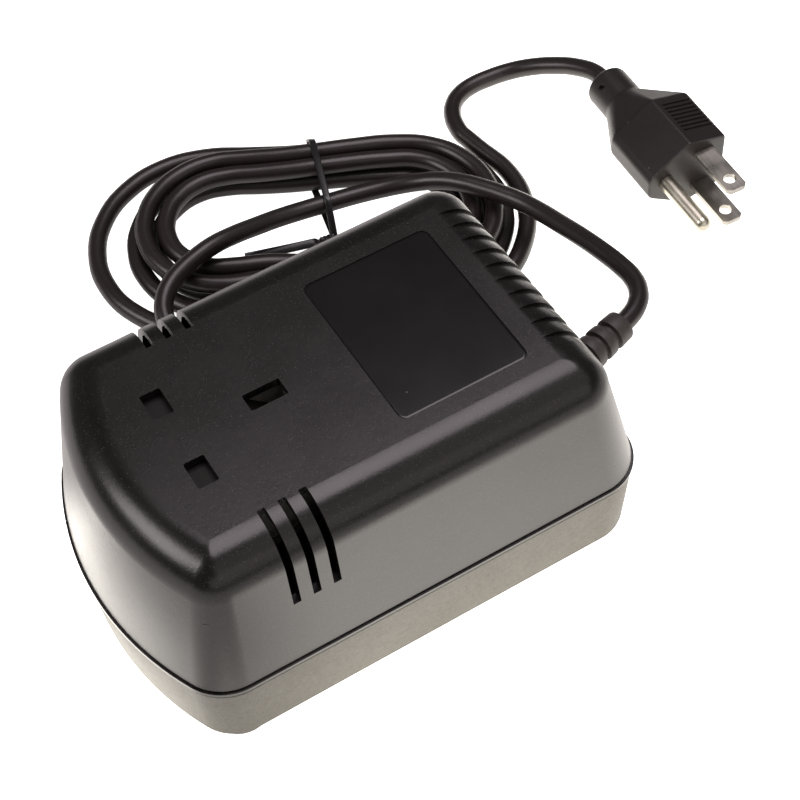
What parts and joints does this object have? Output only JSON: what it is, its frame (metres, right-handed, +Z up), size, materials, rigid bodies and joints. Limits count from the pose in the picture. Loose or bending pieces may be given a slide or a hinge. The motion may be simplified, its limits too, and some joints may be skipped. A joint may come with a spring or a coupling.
{
  "type": "travel voltage converter",
  "caption": "Black moulded voltage converter box with a shuttered three-pin socket in its top, a transformer inside, and a tied mains cord that ends in a moulded plug with flat blades.",
  "frame": {"origin": "on the surface that it stands on, under the middle of the housing", "axes": "+X from the bowed socket end to the end that the cord leaves, +Y towards the hank, +Z up out of the socket"},
  "size_m": [0.219, 0.1812, 0.066],
  "materials": {
    "black_shell": "satin, fine grain",
    "grey_shell": "spark textured",
    "plate_film": "smooth film",
    "screw_steel": "zinc plated",
    "carrier_plastic": "satin",
    "shutter_plastic": "satin",
    "spring_steel": "drawn",
    "contact_brass": "rolled",
    "core_steel": "varnished laminations",
    "bobbin_plastic": "satin",
    "enamelled_wire": "enamelled",
    "winding_film": "glossy",
    "fuse_case": "satin",
    "clamp_steel": "zinc plated",
    "wire_sleeve": "satin",
    "cord_pvc": "satin",
    "tie_plastic": "satin",
    "plug_pvc": "matte",
    "blade_nickel": "nickel plated",
    "pin_nickel": "nickel plated over brass"
  },
  "bodies": {
    "housing": {"upper_shell": "black_shell", "lower_shell": "grey_shell", "rating_plate": "plate_film", "case_screws": "screw_steel", "carrier_screws": "screw_steel", "clamp_screws": "screw_steel", "socket_carrier": "carrier_plastic", "shutter_spring": "spring_steel", "live_contact": "contact_brass", "neutral_contact": "contact_brass", "earth_contact": "contact_brass", "transformer_core": "core_steel", "coil_bobbin": "bobbin_plastic", "inner_winding": "enamelled_wire", "outer_winding": "enamelled_wire", "winding_tape": "winding_film", "thermal_fuse": "fuse_case", "core_clamps": "clamp_steel", "supply_leads": "wire_sleeve", "output_leads": "wire_sleeve", "strain_relief": "cord_pvc", "cord_lead": "cord_pvc", "cord_hank": "cord_pvc", "cord_tail": "cord_pvc", "cord_tie": "tie_plastic", "plug_body": "plug_pvc", "plug_blades": "blade_nickel", "plug_earth_pin": "pin_nickel"},
    "shutter": {"socket_shutter": "shutter_plastic"}
  },
  "joints": [
    {"name": "shutter_slide", "type": "slide", "parent": "housing", "child": "shutter", "axis": [-1, 0, 0], "range_m": [0, 0.007], "stiffness_N_per_m": 150, "springref_m": -0.003, "deforming": ["shutter_spring"]}
  ]
}
